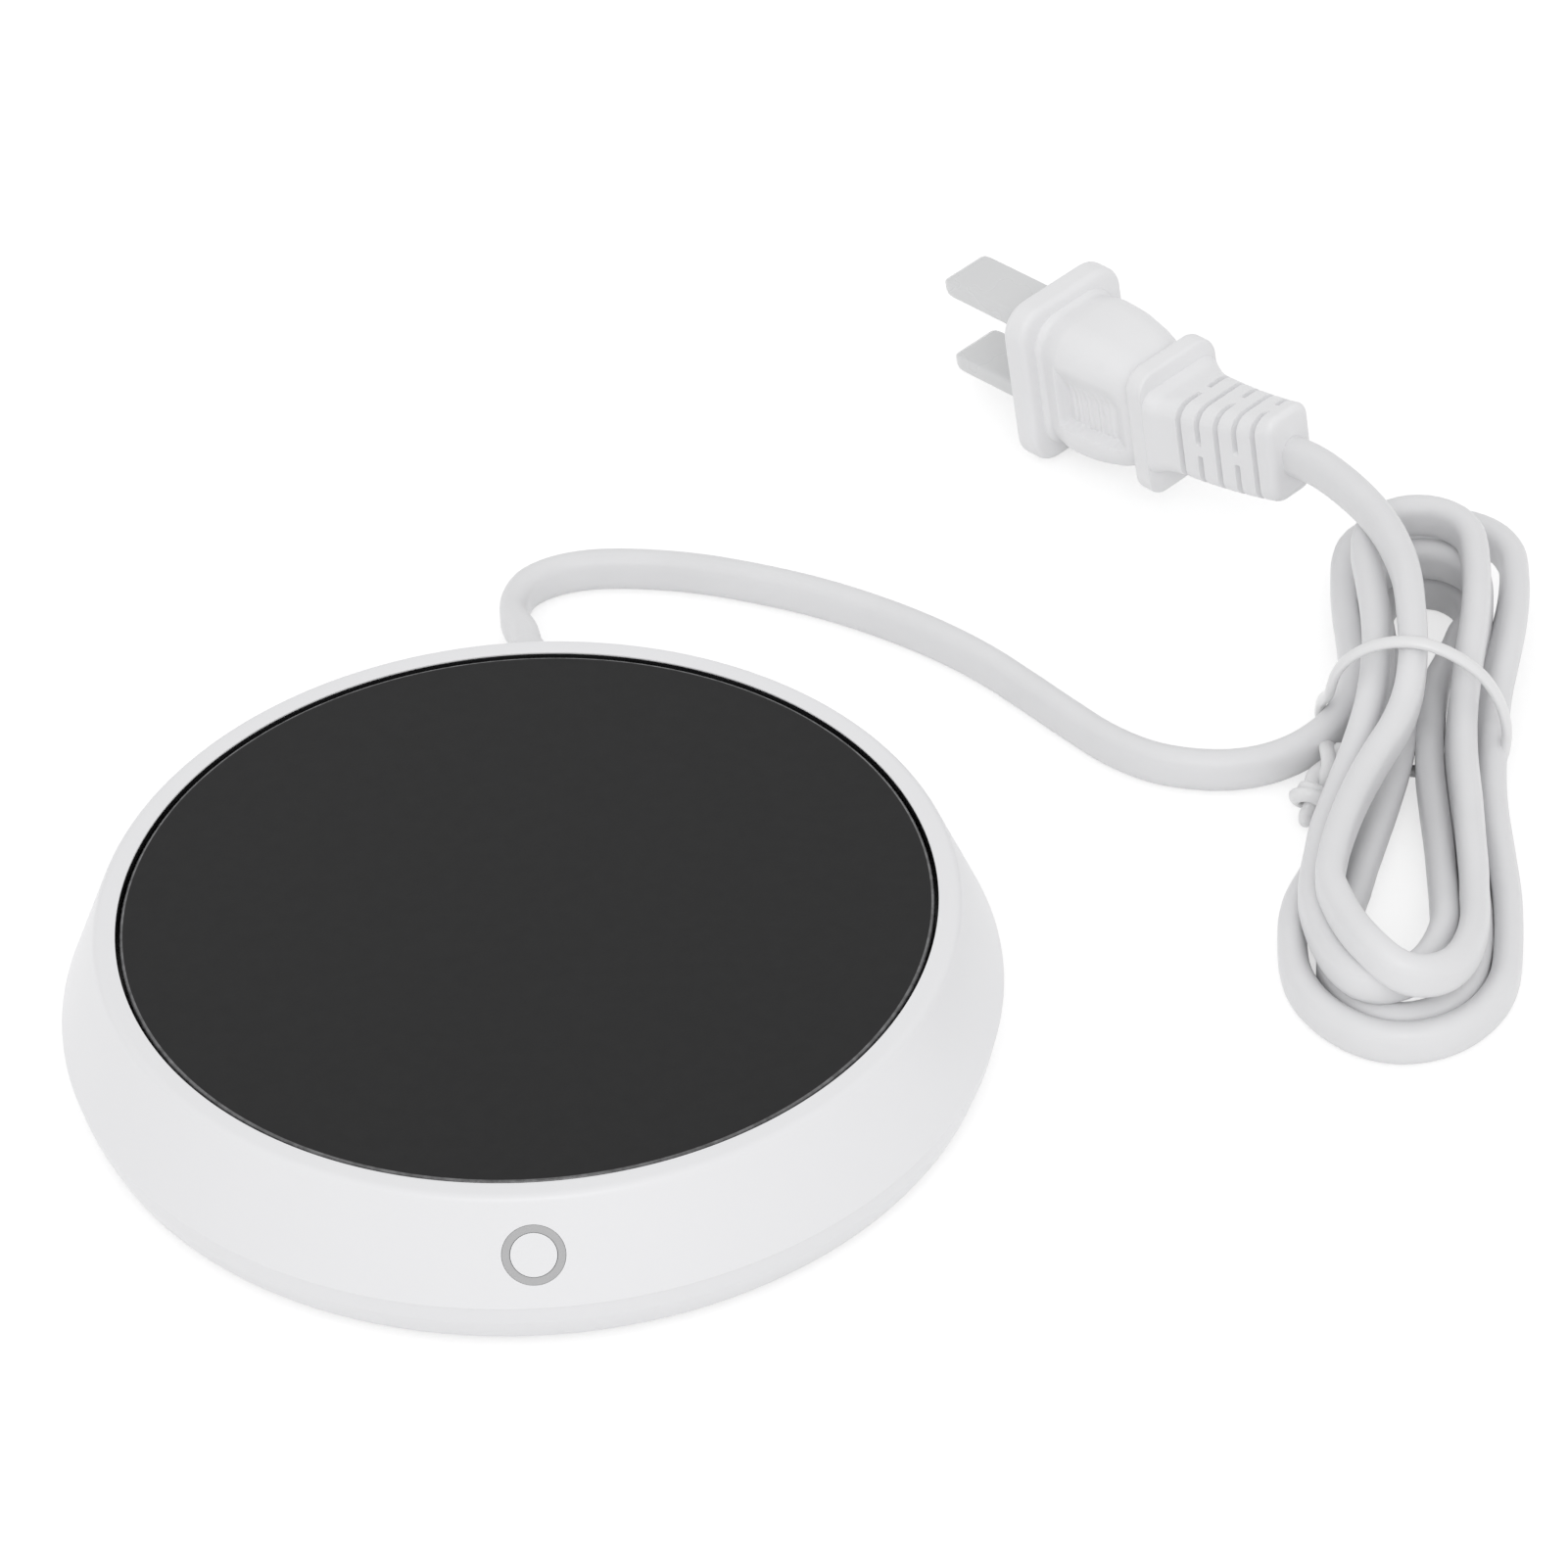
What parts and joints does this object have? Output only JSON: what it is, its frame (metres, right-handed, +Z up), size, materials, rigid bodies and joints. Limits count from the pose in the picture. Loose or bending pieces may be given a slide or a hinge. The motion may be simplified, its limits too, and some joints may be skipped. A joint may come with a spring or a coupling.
{
  "type": "electric mug warmer",
  "caption": "Low round white mug warmer with a sprung black glass hot plate, a round push button in a grey light ring and a flat white mains cord folded into a tied hank.",
  "frame": {"origin": "centre of the body's underside, level with the bottoms of the feet (z = 0 is the table)", "axes": "+Z up; -Y is the front, where the button is; the cord leaves the body at +Y"},
  "size_m": [0.1939, 0.1998, 0.0271],
  "materials": {
    "shell_white": "moulded ABS, fine satin, warm white with a slight lilac cast",
    "plate_black": "neutral dark satin plate, very fine grain",
    "black_plastic": "heat-proof black moulding",
    "ring_grey": "translucent grey light guide, unlit",
    "cord_pvc": "soft off-white PVC",
    "plug_pvc": "moulded white PVC, satin",
    "sleeve_clear": "milky see-through polythene",
    "tie_white": "white coated wire tie",
    "blade_brass": "plain brass, dull",
    "steel": "zinc-plated steel",
    "aluminium": "rolled aluminium",
    "foot_rubber": "dark grey rubber",
    "bead_silicone": "black silicone sealant",
    "mica": "mica sheet with etched heating foil",
    "felt": "glass-fibre felt",
    "board_green": "glass epoxy board with solder resist",
    "film_yellow": "dipped film capacitor",
    "can_sleeve": "shrink sleeve on an aluminium can",
    "package_black": "moulded epoxy",
    "plunger_red": "red acetal pin",
    "terminal_green": "nylon terminal housing",
    "fuse_brown": "fuse case",
    "led_clear": "phosphor under clear resin",
    "wire_white": "silicone and PVC wire insulation",
    "wire_black": "ribbon wire insulation",
    "dark_steel": "tin-plated steel case"
  },
  "bodies": {
    "housing": {"upper_shell": "shell_white", "base_cover": "shell_white", "plate_frame": "black_plastic", "circuit_board": "board_green", "board_screws": "steel", "gravity_switch": "package_black", "film_capacitor": "film_yellow", "smoothing_capacitor": "can_sleeve", "power_triac": "package_black", "controller_chip": "package_black", "board_fuse": "fuse_brown", "terminal_block": "terminal_green", "light_ring": "ring_grey", "button_board": "board_green", "tact_switch": "dark_steel", "status_leds": "led_clear", "button_wires": "wire_black", "mains_leads": "wire_white", "cord_clamp": "black_plastic", "clamp_screws": "steel", "strain_relief": "cord_pvc", "cord_lead": "cord_pvc", "cord_hank": "cord_pvc", "cord_tail": "cord_pvc", "hank_tie": "tie_white", "plug_body": "plug_pvc", "plug_blades": "blade_brass", "blade_sleeves": "sleeve_clear", "housing_screws": "steel", "rubber_feet": "foot_rubber"},
    "plate": {"glass_plate": "plate_black", "plate_bead": "bead_silicone", "heat_spreader": "aluminium", "heating_element": "mica", "insulation_felt": "felt", "plate_carrier": "black_plastic", "thermal_cutout": "steel", "temperature_sensor": "package_black", "plate_springs": "steel", "heater_leads": "wire_white", "gravity_plunger": "plunger_red"},
    "button": {"power_button": "shell_white", "tact_plunger": "package_black"}
  },
  "joints": [
    {"name": "plate_press", "type": "slide", "parent": "housing", "child": "plate", "axis": [0, 0, -1], "range_m": [0, 0.0008], "stiffness_N_per_m": 1500, "springref_m": -0.00133, "deforming": ["plate_springs", "heater_leads"]},
    {"name": "button_press", "type": "slide", "parent": "housing", "child": "button", "axis": [0, 0.9308, -0.3654], "range_m": [0, 0.0005], "stiffness_N_per_m": 1000, "springref_m": -0.0008}
  ]
}
